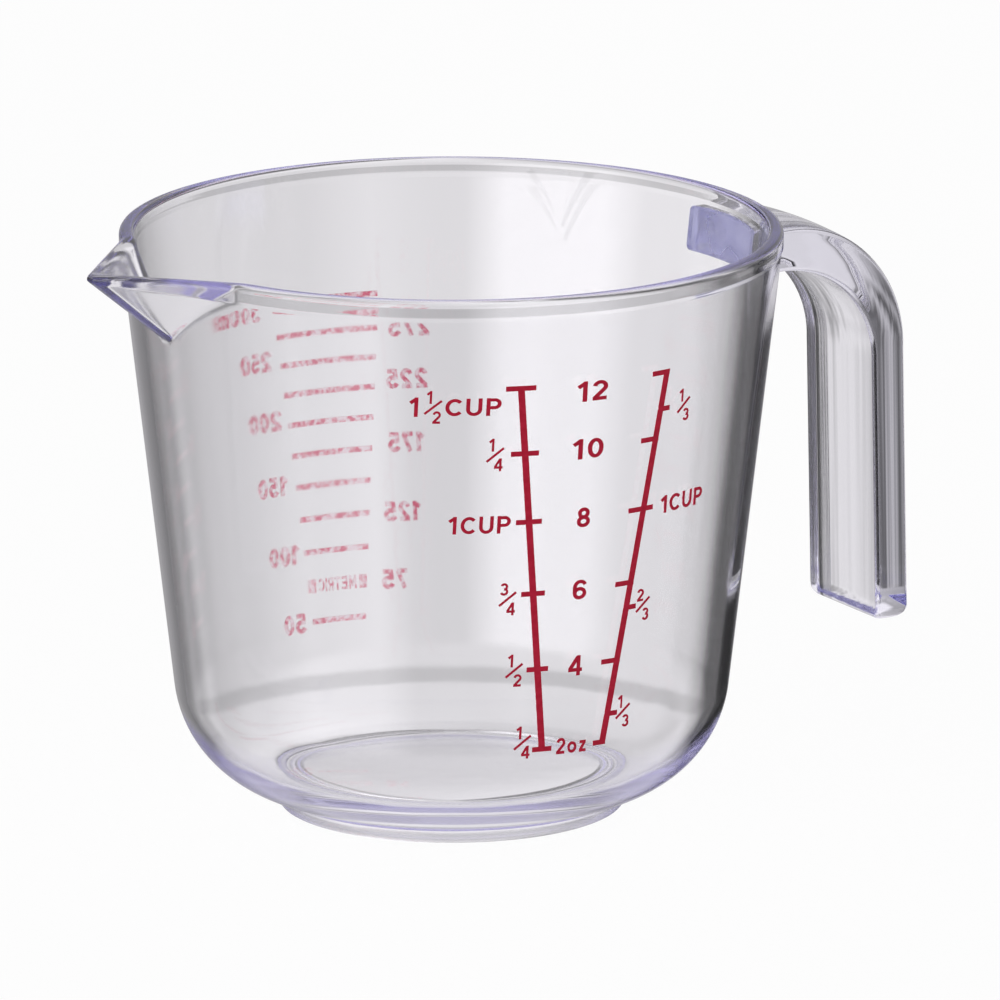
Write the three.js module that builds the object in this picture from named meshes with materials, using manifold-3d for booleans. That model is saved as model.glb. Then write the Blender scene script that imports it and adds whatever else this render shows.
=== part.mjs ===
// Clear plastic measuring jug: a tapered bowl on a foot ring, with a flat-sided pouring spout,
// a hook handle bonded to the wall opposite the spout, and measuring scales printed on both sides.
// Millimetres, +Z up. The jug stands on z = 0, the handle points along +X and the spout along -X.
// The origin is on the table, half way between the spout's tip and the handle's outer face.

import * as THREE from 'three';
import { ConvexGeometry } from 'three/addons/geometries/ConvexGeometry.js';
import { mergeVertices } from 'three/addons/utils/BufferGeometryUtils.js';
import Module from 'manifold-3d';

// Bowl
const HEIGHT = 85.6;                // table to rim
const RIM_RADIUS = 48.1;            // outside of the rim band
const RIM_BAND_HEIGHT = 2.8;
const RIM_BAND_STEP = 0.2;          // the band stands this far out from the wall
const RIM_EDGE_RADIUS = 0.4;        // rounding of the rim's two top edges
const RIM_WALL = 2.15;              // across the top of the rim, band included
const OUTER_TAPER = THREE.MathUtils.degToRad(6.64);
const INNER_TAPER = THREE.MathUtils.degToRad(6.1);  // less, so that the wall thins towards the floor
const FLOOR = 3.2;
const OUTER_CORNER_RADIUS = 18;     // between wall and floor
const INNER_CORNER_RADIUS = 14;

// Foot ring under the floor
const FOOT_RADIUS = 25.5;           // where the ring leaves the bowl's rounded corner
const FOOT_HEIGHT = 2.1;            // table to the underside of the floor
const FOOT_WIDTH = 2.4;             // ring's width where it meets the floor
const FOOT_DRAFT = 0.4;             // each side of the ring leans in this much towards the table
const FOOT_EDGE_RADIUS = 0.3;

// Spout: two flat sides that meet in a narrow keel
const SPOUT_REACH = 59.2;           // bowl axis to the tip
const SPOUT_HALF_ANGLE = THREE.MathUtils.degToRad(21.6);  // where its lips leave the rim
const SPOUT_TIP_DROP = 0.5;         // tip below the rim
const SPOUT_TIP_HEIGHT = 1.0;       // blunt front edge of the tip
const SPOUT_KEEL_DEPTH = 11.5;      // rim down to where the keel runs into the wall
const SPOUT_KEEL_WIDTH = 1.6;
const SPOUT_WALL = 1.9;
const SPOUT_VALLEY_WIDTH = 0.2;     // bottom of the channel, above the keel

// Handle: a flat bar that leaves the wall under the rim band, bends and hangs open at its lower end
const HANDLE_WIDTH = 20.2;
const HANDLE_TOP_DROP = 3.4;        // rim to the top of the bar
const HANDLE_ROOT_THICKNESS = 6.9;
const HANDLE_REACH = 70.8;          // bowl axis to the outer face, just below the bend
const HANDLE_GRIP_THICKNESS = 5.6;
const HANDLE_BEND_RADIUS = 20;      // outside of the bend
const HANDLE_INNER_BEND_RADIUS = 15;
const HANDLE_DROP = 64.8;           // rim to the lower end
const HANDLE_LEAN = THREE.MathUtils.degToRad(1.3);  // the grip leans out towards its lower end
const HANDLE_END_RADIUS = 2;        // lower end's outer edge and its two sides
const HANDLE_INNER_END_RADIUS = 1.3;
const HANDLE_EDGE_RADIUS = 0.8;
const BOND_GAP = 0.3;               // adhesive line between the handle's root and the wall

// Printed scales: thin ink films on the outside of the wall
const FLUID_OUNCE = 29.5735;        // millilitres
const CUP_OUNCES = 8;
const OUNCE_MARKS = [12, 10, 8, 6, 4, 2];
const CUP_THIRD_MARKS = [4, 3, 2, 1];
const METRIC_MARKS = [50, 100, 125, 150, 175, 200, 225, 250, 275, 300];  // a word stands at 75
const PRINT_GAP = 0.1;              // keeps a film clear of the wall's facets
const PRINT_THICKNESS = 0.1;
const PRINT_AZIMUTH = THREE.MathUtils.degToRad(-94);  // column of ounce numbers, from the handle
const PRINT_LINE_WIDTH = 1.0;
const PRINT_TICK_HEIGHT = 0.75;
const PRINT_MARGIN = 4;             // least space between a mark and the rim band
const CUP_LINE_TOP = -10.5;         // offset of the cup line from the number column, at its top
const CUP_LINE_FOOT = -4.5;
const CUP_TICK_LENGTH = 4.4;
const CUP_TICK_TAPER = 0.3;         // each tick down the line is this much shorter
const OUNCE_LINE_TOP = 13.1;
const OUNCE_LINE_FOOT = 5;
const OUNCE_TICK_LENGTH = 3.2;      // towards the numbers
const OUNCE_FOOT_TICK_LENGTH = 2.1; // the lowest tick, beside the unit
const THIRD_TICK_LENGTH = 1.7;      // away from the numbers
const OUNCE_PRINT_DROP = 1.2;       // top of the cup and ounce print, below the true level
const OUNCE_PRINT_STRETCH = 1.02;   // height of that print as a share of the true one
const TOP_THIRD_LIFT = 1.0;         // the uppermost third of a cup is printed high
const METRIC_PRINT_LIFT = 0.9;      // metric print, above the true level
const METRIC_BAR_HEIGHT = 0.8;
const METRIC_BAR_LENGTH = 8.9;      // the lowest bar
const METRIC_BAR_GROWTH = 0.19;     // added length for each millimetre of height

// Facets
const BOWL_SEGMENTS = 80;
const ARC_SEGMENTS = 9;
const EDGE_SEGMENTS = 2;
const FILM_SEGMENTS = 8;
const FILL_STEP = 0.05;             // slice of liquid, when a mark's height is worked out
const MERGE_DISTANCE = 1e-5;
const CUT_MARGIN = 3;               // how far a cutting solid runs past what it cuts

const wasm = await Module();
wasm.setup();

// A closed three.js geometry as a solid that can be joined and cut.
function solid(geometry) {
  const bare = geometry.clone();
  bare.deleteAttribute('normal');
  bare.deleteAttribute('uv');
  const merged = mergeVertices(bare, MERGE_DISTANCE);
  return new wasm.Manifold(new wasm.Mesh({
    numProp: 3,
    vertProperties: new Float32Array(merged.attributes.position.array),
    triVerts: new Uint32Array(merged.index.array),
  }));
}

function geometryOf(body) {
  const mesh = body.getMesh();
  const geometry = new THREE.BufferGeometry();
  geometry.setAttribute('position', new THREE.BufferAttribute(mesh.vertProperties, 3));
  geometry.setIndex(new THREE.BufferAttribute(mesh.triVerts, 1));
  geometry.computeVertexNormals();
  return geometry;
}

// A profile of (radius, height) points turned about the bowl's axis.
function turned(profile) {
  const geometry = new THREE.LatheGeometry(profile, BOWL_SEGMENTS);
  geometry.rotateX(Math.PI / 2);
  return geometry;
}

function arc(centreR, centreZ, radius, from, to, segments) {
  const points = [];
  for (let i = 0; i <= segments; i += 1) {
    const angle = from + (to - from) * i / segments;
    points.push(new THREE.Vector2(
      centreR + radius * Math.cos(angle),
      centreZ + radius * Math.sin(angle),
    ));
  }
  return points;
}

// Bowl lines that the other pieces take their places from
const bandFoot = HEIGHT - RIM_BAND_HEIGHT;
const floorTop = FOOT_HEIGHT + FLOOR;

function wallRadius(z) {
  return RIM_RADIUS - RIM_BAND_STEP - Math.tan(OUTER_TAPER) * (bandFoot - z);
}

function innerWallRadius(z) {
  return RIM_RADIUS - RIM_WALL - Math.tan(INNER_TAPER) * (HEIGHT - z);
}

const cornerZ = FOOT_HEIGHT + OUTER_CORNER_RADIUS;
const cornerR = wallRadius(cornerZ) - OUTER_CORNER_RADIUS / Math.cos(OUTER_TAPER);
const innerCornerZ = floorTop + INNER_CORNER_RADIUS;
const innerCornerR = innerWallRadius(innerCornerZ) - INNER_CORNER_RADIUS / Math.cos(INNER_TAPER);

// The bowl's outside, from the middle of the floor's underside round the foot and up to the rim.
// grow moves the wall and corner outwards, for the cut that seats the handle's root.
function outerProfile(grow) {
  const footAngle = -Math.acos((FOOT_RADIUS - cornerR) / OUTER_CORNER_RADIUS);
  const ringOut = FOOT_RADIUS - FOOT_DRAFT;
  const ringIn = FOOT_RADIUS - FOOT_WIDTH + FOOT_DRAFT;
  const edge = FOOT_EDGE_RADIUS;
  const round = RIM_EDGE_RADIUS;
  const rim = RIM_RADIUS + grow;
  return [
    new THREE.Vector2(0, FOOT_HEIGHT),
    new THREE.Vector2(FOOT_RADIUS - FOOT_WIDTH, FOOT_HEIGHT),
    new THREE.Vector2(ringIn, edge),
    new THREE.Vector2(ringIn + edge, 0),
    new THREE.Vector2(ringOut - edge, 0),
    new THREE.Vector2(ringOut, edge),
    ...arc(cornerR, cornerZ, OUTER_CORNER_RADIUS + grow, footAngle, -OUTER_TAPER, ARC_SEGMENTS),
    new THREE.Vector2(wallRadius(bandFoot) + grow, bandFoot),
    new THREE.Vector2(rim, bandFoot),
    ...arc(rim - round, HEIGHT - round, round, 0, Math.PI / 2, EDGE_SEGMENTS),
    new THREE.Vector2(0, HEIGHT),
  ];
}

// The space inside the bowl, with the rim's rounded inner edge, open at the top.
function cavityProfile() {
  const round = RIM_EDGE_RADIUS;
  const mouth = innerWallRadius(HEIGHT);
  return [
    new THREE.Vector2(0, floorTop),
    ...arc(innerCornerR, innerCornerZ, INNER_CORNER_RADIUS, -Math.PI / 2, -INNER_TAPER, ARC_SEGMENTS),
    ...arc(mouth + round, HEIGHT - round, round, Math.PI - INNER_TAPER, Math.PI / 2, EDGE_SEGMENTS),
    new THREE.Vector2(mouth + round, HEIGHT + CUT_MARGIN),
    new THREE.Vector2(0, HEIGHT + CUT_MARGIN),
  ];
}

// A wedge with flat sides: a keel line running from the tip down to the wall, and on each side a lip
// from the tip to the rim, lipHeight deep where it leaves the rim. lift carries the whole wedge up along
// its keel, to cut an open top.
function spoutWedge({ tip, keelTop, keelFoot, lip, lipHeight, keelWidth, lift }) {
  const along = new THREE.Vector3().subVectors(keelTop, keelFoot);
  const rise = along.multiplyScalar(lift / along.z);
  const points = [];
  for (const side of [-1, 1]) {
    const half = new THREE.Vector3(0, side * keelWidth / 2, 0);
    points.push(tip.clone().add(half).add(rise));
    points.push(keelTop.clone().add(half));
    points.push(keelFoot.clone().add(half));
    points.push(new THREE.Vector3(lip.x, side * lip.y, lip.z).add(rise));
    points.push(new THREE.Vector3(lip.x, side * lip.y, lip.z - lipHeight).add(rise));
  }
  points.push(new THREE.Vector3(0, 0, lip.z + lift));
  points.push(new THREE.Vector3(0, 0, keelFoot.z));
  return new ConvexGeometry(points);
}

// The rim band runs on along both lips and narrows to the tip's blunt front edge.
function spoutOutside() {
  const tipZ = HEIGHT - SPOUT_TIP_DROP;
  const keelFootZ = HEIGHT - SPOUT_KEEL_DEPTH;
  return spoutWedge({
    tip: new THREE.Vector3(-SPOUT_REACH, 0, tipZ),
    keelTop: new THREE.Vector3(-SPOUT_REACH, 0, tipZ - SPOUT_TIP_HEIGHT),
    keelFoot: new THREE.Vector3(-wallRadius(keelFootZ), 0, keelFootZ),
    lip: new THREE.Vector3(
      -RIM_RADIUS * Math.cos(SPOUT_HALF_ANGLE),
      RIM_RADIUS * Math.sin(SPOUT_HALF_ANGLE),
      HEIGHT,
    ),
    lipHeight: RIM_BAND_HEIGHT,
    keelWidth: SPOUT_KEEL_WIDTH,
    lift: 0,
  });
}

// The channel inside the spout: the outside's flat sides and keel, moved in by the spout's wall.
function spoutChannel() {
  const tipZ = HEIGHT - SPOUT_TIP_DROP;
  const keelFootZ = HEIGHT - SPOUT_KEEL_DEPTH;
  const keelRun = SPOUT_REACH - wallRadius(keelFootZ);
  const keelFall = tipZ - SPOUT_TIP_HEIGHT - keelFootZ;
  const keelRise = SPOUT_WALL * Math.hypot(keelRun, keelFall) / keelRun;
  const lipX = RIM_RADIUS * Math.cos(SPOUT_HALF_ANGLE);
  const lipY = RIM_RADIUS * Math.sin(SPOUT_HALF_ANGLE);
  const lipLength = Math.hypot(SPOUT_REACH - lipX, lipY);
  const setBack = SPOUT_WALL * lipLength / lipY;
  const tip = new THREE.Vector3(-SPOUT_REACH + setBack, 0, tipZ);
  const valleyFoot = new THREE.Vector3(-wallRadius(keelFootZ), 0, keelFootZ + keelRise);
  return spoutWedge({
    tip,
    keelTop: tip.clone(),
    keelFoot: valleyFoot,
    lip: new THREE.Vector3(-lipX + setBack, lipY, HEIGHT),
    lipHeight: 0,
    keelWidth: SPOUT_VALLEY_WIDTH,
    lift: CUT_MARGIN,
  });
}

function vesselGeometry() {
  const body = solid(turned(outerProfile(0))).add(solid(spoutOutside()));
  const hollow = solid(turned(cavityProfile())).add(solid(spoutChannel()));
  return geometryOf(body.subtract(hollow));
}

// Handle lines, (distance from the bowl's axis, height)
const handleTop = HEIGHT - HANDLE_TOP_DROP;
const handleEnd = HEIGHT - HANDLE_DROP;
const outerBendZ = handleTop - HANDLE_BEND_RADIUS;
const innerBendZ = handleTop - HANDLE_ROOT_THICKNESS - HANDLE_INNER_BEND_RADIUS;

function gripOuter(z) {
  return HANDLE_REACH + Math.tan(HANDLE_LEAN) * (outerBendZ - z);
}

function gripInner(z) {
  return HANDLE_REACH - HANDLE_GRIP_THICKNESS + Math.tan(HANDLE_LEAN) * (innerBendZ - z);
}

// Side view of the handle's bar as one closed outline, with its root run on to the bowl's axis.
function handleSideView() {
  const round = HANDLE_END_RADIUS;
  const innerRound = HANDLE_INNER_END_RADIUS;
  const farEnd = gripOuter(handleEnd + round);
  const nearEnd = gripInner(handleEnd + innerRound);
  const innerBendX = gripInner(innerBendZ) - HANDLE_INNER_BEND_RADIUS;
  const outerBendX = gripOuter(outerBendZ) - HANDLE_BEND_RADIUS;
  const outline = new THREE.Shape();
  outline.moveTo(0, innerBendZ + HANDLE_INNER_BEND_RADIUS);
  outline.absarc(innerBendX, innerBendZ, HANDLE_INNER_BEND_RADIUS, Math.PI / 2, 0, true);
  outline.lineTo(nearEnd, handleEnd + innerRound);
  outline.quadraticCurveTo(nearEnd, handleEnd, nearEnd + innerRound, handleEnd);
  outline.lineTo(farEnd - round, handleEnd);
  outline.quadraticCurveTo(farEnd, handleEnd, farEnd, handleEnd + round);
  outline.absarc(outerBendX, outerBendZ, HANDLE_BEND_RADIUS, 0, Math.PI / 2, false);
  outline.lineTo(0, handleTop);
  outline.closePath();
  return outline;
}

// The handle seen from outside, (across, height): straight sides and a lower end with round corners.
function handleFrontView() {
  const half = HANDLE_WIDTH / 2;
  const round = HANDLE_END_RADIUS;
  const outline = new THREE.Shape();
  outline.moveTo(-half, handleTop + CUT_MARGIN);
  outline.lineTo(-half, handleEnd + round);
  outline.absarc(-half + round, handleEnd + round, round, Math.PI, 1.5 * Math.PI, false);
  outline.absarc(half - round, handleEnd + round, round, 1.5 * Math.PI, 2 * Math.PI, false);
  outline.lineTo(half, handleTop + CUT_MARGIN);
  outline.closePath();
  return outline;
}

// The side view pulled to the handle's width with rounded edges, trimmed to the front view, and cut to
// the wall's curve at its root.
function handleGeometry() {
  const bar = new THREE.ExtrudeGeometry(handleSideView(), {
    depth: HANDLE_WIDTH - 2 * HANDLE_EDGE_RADIUS,
    curveSegments: ARC_SEGMENTS,
    bevelSegments: EDGE_SEGMENTS,
    bevelSize: HANDLE_EDGE_RADIUS,
    bevelThickness: HANDLE_EDGE_RADIUS,
    bevelOffset: -HANDLE_EDGE_RADIUS,
  });
  bar.rotateX(Math.PI / 2);
  bar.translate(0, HANDLE_WIDTH / 2 - HANDLE_EDGE_RADIUS, 0);
  const front = new THREE.ExtrudeGeometry(handleFrontView(), {
    depth: gripOuter(handleEnd) + CUT_MARGIN,
    curveSegments: ARC_SEGMENTS,
    bevelEnabled: false,
  });
  front.rotateX(Math.PI / 2);
  front.rotateZ(Math.PI / 2);
  const seat = solid(turned(outerProfile(BOND_GAP)));
  return geometryOf(solid(bar).intersect(solid(front)).subtract(seat));
}

// Radius of the liquid's surface at a height inside the bowl.
function liquidRadius(z) {
  const below = innerCornerZ - z;
  if (below <= INNER_CORNER_RADIUS * Math.sin(INNER_TAPER)) {
    return innerWallRadius(z);
  }
  return innerCornerR + Math.sqrt(Math.max(0, INNER_CORNER_RADIUS ** 2 - below ** 2));
}

// Height above the table at which the bowl holds a volume in millilitres.
function fillHeight(volume) {
  const cubicMillimetres = volume * 1000;
  let z = floorTop;
  let held = 0;
  while (held < cubicMillimetres && z < HEIGHT) {
    held += Math.PI * liquidRadius(z + FILL_STEP / 2) ** 2 * FILL_STEP;
    z += FILL_STEP;
  }
  return z;
}

const ounces = (count) => count * FLUID_OUNCE;
const highestMark = bandFoot - PRINT_MARGIN;

// Volumes from a list whose marks lie on the wall below the rim band.
function printable(volumes) {
  return volumes.filter((volume) => fillHeight(volume) < highestMark);
}

const ounceVolumes = printable(OUNCE_MARKS.map(ounces));
const thirdVolumes = printable(CUP_THIRD_MARKS.map((count) => ounces(count * CUP_OUNCES / 3)));
const metricVolumes = printable(METRIC_MARKS);

// Height of a cup or ounce mark. That print sits low, and is stretched a little from its top down.
function ouncePrintHeight(volume) {
  const top = fillHeight(ounceVolumes[0]);
  return top - OUNCE_PRINT_DROP - OUNCE_PRINT_STRETCH * (top - fillHeight(volume));
}

// Wraps a flat film onto the wall. In the flat, x runs round the wall, y is height and z is outwards.
function wrapped(geometry, azimuth) {
  const position = geometry.attributes.position;
  for (let i = 0; i < position.count; i += 1) {
    const z = position.getY(i);
    const wall = wallRadius(z);
    const turn = azimuth + position.getX(i) / wall;
    const radius = wall + PRINT_GAP + position.getZ(i);
    position.setXYZ(i, radius * Math.cos(turn), radius * Math.sin(turn), z);
  }
  geometry.computeVertexNormals();
  return geometry;
}

function flatBar(fromX, toX, z, height) {
  const bar = new THREE.BoxGeometry(toX - fromX, height, PRINT_THICKNESS, FILM_SEGMENTS, 1, 1);
  bar.translate((fromX + toX) / 2, z, PRINT_THICKNESS / 2);
  return bar;
}

// A slanting scale line with its ticks, as one film. Each tick is { z, left, right }.
function scaleGeometry(ticks, topX, footX) {
  const heights = ticks.map((tick) => tick.z);
  const top = Math.max(...heights) + PRINT_TICK_HEIGHT / 2;
  const foot = Math.min(...heights) - PRINT_TICK_HEIGHT / 2;
  const lineX = (z) => footX + (topX - footX) * (z - foot) / (top - foot);
  const stroke = new THREE.BoxGeometry(PRINT_LINE_WIDTH, top - foot, PRINT_THICKNESS, 1, FILM_SEGMENTS);
  stroke.translate(0, (top + foot) / 2, PRINT_THICKNESS / 2);
  const position = stroke.attributes.position;
  for (let i = 0; i < position.count; i += 1) {
    position.setX(i, position.getX(i) + lineX(position.getY(i)));
  }
  let film = solid(stroke);
  for (const tick of ticks) {
    const x = lineX(tick.z);
    film = film.add(solid(flatBar(x - tick.left, x + tick.right, tick.z, PRINT_TICK_HEIGHT)));
  }
  return wrapped(geometryOf(film), PRINT_AZIMUTH);
}

function cupScaleGeometry() {
  const ticks = ounceVolumes.map((volume, i) => {
    const half = (CUP_TICK_LENGTH - CUP_TICK_TAPER * i) / 2;
    return { z: ouncePrintHeight(volume), left: half, right: half };
  });
  return scaleGeometry(ticks, CUP_LINE_TOP, CUP_LINE_FOOT);
}

function ounceScaleGeometry() {
  const half = PRINT_LINE_WIDTH / 2;
  const lowest = ounceVolumes.length - 1;
  const towards = ounceVolumes.map((volume, i) => ({
    z: ouncePrintHeight(volume),
    left: (i < lowest ? OUNCE_TICK_LENGTH : OUNCE_FOOT_TICK_LENGTH) - half,
    right: half,
  }));
  const away = thirdVolumes.map((volume, i) => ({
    z: ouncePrintHeight(volume) + (i ? 0 : TOP_THIRD_LIFT),
    left: half,
    right: THIRD_TICK_LENGTH,
  }));
  return scaleGeometry([...towards, ...away], OUNCE_LINE_TOP, OUNCE_LINE_FOOT);
}

function metricBarGeometry(volume) {
  const z = fillHeight(volume) + METRIC_PRINT_LIFT;
  const lowest = fillHeight(metricVolumes[0]) + METRIC_PRINT_LIFT;
  const half = (METRIC_BAR_LENGTH + METRIC_BAR_GROWTH * (z - lowest)) / 2;
  return wrapped(flatBar(-half, half, z, METRIC_BAR_HEIGHT), PRINT_AZIMUTH + Math.PI);
}

const clearPlastic = new THREE.MeshStandardMaterial({
  color: '#d9d9e4',
  roughness: 0.06,
  metalness: 0,
  transparent: true,
  opacity: 0.35,
});
const redInk = new THREE.MeshStandardMaterial({ color: '#98142f', roughness: 0.5, metalness: 0 });

const jug = new THREE.Group();
jug.position.x = (SPOUT_REACH - gripOuter(handleEnd + HANDLE_END_RADIUS)) / 2;

function place(name, geometry, material) {
  const mesh = new THREE.Mesh(geometry, material);
  mesh.name = name;
  jug.add(mesh);
}

place('vessel', vesselGeometry(), clearPlastic);
place('handle', handleGeometry(), clearPlastic);
place('cup_scale', cupScaleGeometry(), redInk);
place('ounce_scale', ounceScaleGeometry(), redInk);
for (const volume of metricVolumes) {
  place(`metric_bar_${volume}`, metricBarGeometry(volume), redInk);
}

export default jug;
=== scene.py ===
# Clear plastic measuring jug: a tapered bowl with a flat-sided spout, a hook handle bonded to the wall
# opposite it, and red scales with their numbers printed on both sides.
import math

import bmesh
import bpy
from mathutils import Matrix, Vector
from mathutils.geometry import delaunay_2d_cdt


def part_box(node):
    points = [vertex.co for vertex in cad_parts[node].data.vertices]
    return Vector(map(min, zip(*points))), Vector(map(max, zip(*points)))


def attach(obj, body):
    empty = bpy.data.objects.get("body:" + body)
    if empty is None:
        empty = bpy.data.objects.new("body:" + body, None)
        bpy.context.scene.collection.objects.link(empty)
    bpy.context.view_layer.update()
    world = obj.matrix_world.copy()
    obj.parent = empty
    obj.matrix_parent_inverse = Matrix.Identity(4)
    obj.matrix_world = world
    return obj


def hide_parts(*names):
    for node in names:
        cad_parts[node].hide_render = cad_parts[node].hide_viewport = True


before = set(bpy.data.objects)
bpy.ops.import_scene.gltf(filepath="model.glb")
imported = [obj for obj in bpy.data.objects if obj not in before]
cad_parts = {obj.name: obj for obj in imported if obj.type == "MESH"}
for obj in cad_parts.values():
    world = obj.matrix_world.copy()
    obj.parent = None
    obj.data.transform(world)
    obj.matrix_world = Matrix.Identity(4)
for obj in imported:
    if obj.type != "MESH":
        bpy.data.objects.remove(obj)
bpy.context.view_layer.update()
scene = bpy.context.scene

# Camera: a long lens 2.4 m away, nearly 14 degrees above the table, turned so that the spout points to
# the left and a little towards the viewer. It aims at the middle of the jug.
vessel_low, vessel_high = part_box("vessel")
AXIS_X = vessel_high.x - vessel_high.y
VIEW_TURN = math.radians(29.25)
VIEW_RISE = math.radians(13.697)
VIEW_DISTANCE = 2.4004
AIM_HEIGHT = 0.04499
AIM_RIGHT = 0.007046
LENS_MM = 595.04
SENSOR_MM = 36.0
VIEW_FAR = 20

view_right = Vector((math.cos(VIEW_TURN), -math.sin(VIEW_TURN), 0))
view_away = Vector((math.sin(VIEW_TURN), math.cos(VIEW_TURN), 0))
view_line = view_away * math.cos(VIEW_RISE) - Vector((0, 0, math.sin(VIEW_RISE)))
aim = Vector((AXIS_X, 0, AIM_HEIGHT)) + AIM_RIGHT * view_right
camera = bpy.data.objects.new("camera", bpy.data.cameras.new("camera"))
camera.data.lens = LENS_MM
camera.data.sensor_width = SENSOR_MM
camera.data.clip_end = VIEW_FAR
camera.location = aim - VIEW_DISTANCE * view_line
camera.rotation_euler = view_line.to_track_quat("-Z", "Y").to_euler()
scene.collection.objects.link(camera)
scene.camera = camera

# Vessel: one moulding in clear plastic, with the tapered bowl, the rim band, the spout and the foot ring.
# Its wall is a profile turned about the bowl's axis, pushed out where the spout's flat sides and keel
# stand beyond it. Sizes are in millimetres from the bowl's axis and the table.
MM = 0.001
HEIGHT = vessel_high.z / MM
RIM_RADIUS = vessel_high.y / MM
RIM_BAND_HEIGHT = 2.8
RIM_BAND_STEP = 0.2
RIM_STEP_RISE = 0.3                 # the step is a soft slope, this far to both sides of its height
RIM_EDGE = 0.8
RIM_WALL = 2.15
OUTER_TAPER = math.radians(6.64)
INNER_TAPER = math.radians(6.1)
FLOOR = 3.2
OUTER_CORNER = 18.0
INNER_CORNER = 14.0
FOOT_RADIUS = 25.5
FOOT_HEIGHT = 2.1
FOOT_WIDTH = 2.4
FOOT_DRAFT = 0.4
FOOT_EDGE = 0.8
FOOT_ROOT = 1.7                     # hollow corner where the ring's inside meets the floor
SPOUT_REACH = (AXIS_X - vessel_low.x) / MM
SPOUT_HALF_ANGLE = math.radians(21.6)
SPOUT_TIP_DROP = 0.5
SPOUT_TIP_HEIGHT = 1.0
SPOUT_KEEL_DEPTH = 11.5
SPOUT_KEEL_WIDTH = 1.6
SPOUT_WALL = 1.9
SPOUT_VALLEY_WIDTH = 0.5
SPOUT_SPREAD = math.radians(32)     # beyond this turn from the tip the wall is round
CREASE_BLEND = 0.3                  # softness of the moulding's creases
VALLEY_BLEND = 0.5
ROUND_STEPS = 4
CORNER_STEPS = 20
FINE_STEP = 0.4                     # between points of the profile at the spout's height
COARSE_STEP = 8.0
SPOUT_MARGIN = 3.0                  # the profile is fine down to this far under the spout
SHORT_PIECE = 0.1                   # straight piece beside a corner of the profile
KEEL_STEP = 0.15                    # degrees between columns at the keel, at the spout and round the bowl
SPOUT_STEP = 0.36
BOWL_STEP = 1.5
KEEL_TURN = 2                       # degrees to which the keel and the spout's sides reach
SIDES_TURN = 24
STEP_GROWTH = 1.07

band_foot = HEIGHT - RIM_BAND_HEIGHT
floor_top = FOOT_HEIGHT + FLOOR
spout_foot = HEIGHT - SPOUT_KEEL_DEPTH
fine_from = spout_foot - SPOUT_MARGIN


def wall_radius(z):
    return RIM_RADIUS - RIM_BAND_STEP - math.tan(OUTER_TAPER) * (band_foot - z)


def inner_radius(z):
    return RIM_RADIUS - RIM_WALL - math.tan(INNER_TAPER) * (HEIGHT - z)


def arc(centre, radius, start, end, steps):
    angles = [start + (end - start) * i / steps for i in range(steps + 1)]
    return [centre + radius * Vector((math.cos(a), math.sin(a))) for a in angles]


def rounded(before, corner, after, radius):
    """The arc that rounds one corner of an outline."""
    arm = (before - corner).normalized()
    other = (after - corner).normalized()
    half = arm.angle(other) / 2
    centre = corner + (arm + other).normalized() * (radius / math.sin(half))
    reach = radius / math.tan(half)
    start = (corner + arm * reach - centre).normalized()
    end = (corner + other * reach - centre).normalized()
    return [centre + radius * start.slerp(end, i / ROUND_STEPS) for i in range(ROUND_STEPS + 1)]


def outline(corners):
    """A line through corners of (radius, height, rounding), divided as finely as its place needs."""
    at = [Vector(corner[:2]) for corner in corners]
    line = [at[0]]
    for i in range(1, len(at) - 1):
        rounding = corners[i][2]
        line += rounded(at[i - 1], at[i], at[i + 1], rounding) if rounding else [at[i]]
    line.append(at[-1])
    points = [line[0]]
    for start, end in zip(line, line[1:]):
        step = FINE_STEP if min(start.y, end.y) > fine_from else COARSE_STEP
        count = max(1, math.ceil((end - start).length / step))
        points += [start.lerp(end, i / count) for i in range(1, count + 1)]
    return points


outer_centre = Vector((0, FOOT_HEIGHT + OUTER_CORNER))
outer_centre.x = wall_radius(outer_centre.y) - OUTER_CORNER / math.cos(OUTER_TAPER)
inner_centre = Vector((0, floor_top + INNER_CORNER))
inner_centre.x = inner_radius(inner_centre.y) - INNER_CORNER / math.cos(INNER_TAPER)
foot_angle = -math.acos((FOOT_RADIUS - outer_centre.x) / OUTER_CORNER)
outer_corner = arc(outer_centre, OUTER_CORNER, foot_angle, -OUTER_TAPER, CORNER_STEPS)
inner_corner = arc(inner_centre, INNER_CORNER, -INNER_TAPER, -math.pi / 2, CORNER_STEPS)
mouth = inner_radius(HEIGHT)

outside = outline([
    (0, FOOT_HEIGHT, 0),
    (FOOT_RADIUS - FOOT_WIDTH, FOOT_HEIGHT, FOOT_ROOT),
    (FOOT_RADIUS - FOOT_WIDTH + FOOT_DRAFT, 0, FOOT_EDGE),
    (FOOT_RADIUS - FOOT_DRAFT, 0, FOOT_EDGE),
    (*outer_corner[0], FOOT_EDGE),
    *[(*point, 0) for point in outer_corner[1:]],
    (wall_radius(fine_from), fine_from, 0),
    (wall_radius(fine_from + SHORT_PIECE), fine_from + SHORT_PIECE, 0),
    (wall_radius(band_foot - RIM_STEP_RISE), band_foot - RIM_STEP_RISE, RIM_STEP_RISE),
    (RIM_RADIUS, band_foot + RIM_STEP_RISE, RIM_STEP_RISE),
    (RIM_RADIUS, HEIGHT, RIM_EDGE),
    (RIM_RADIUS - RIM_EDGE, HEIGHT, 0),
    (RIM_RADIUS - RIM_EDGE - SHORT_PIECE, HEIGHT, 0),
])[:-1]
inside = outline([
    (mouth + RIM_EDGE + SHORT_PIECE, HEIGHT, 0),
    (mouth, HEIGHT, RIM_EDGE),
    (inner_radius(fine_from), fine_from, 0),
    *[(*point, 0) for point in inner_corner],
    (0, floor_top, 0),
])


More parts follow.
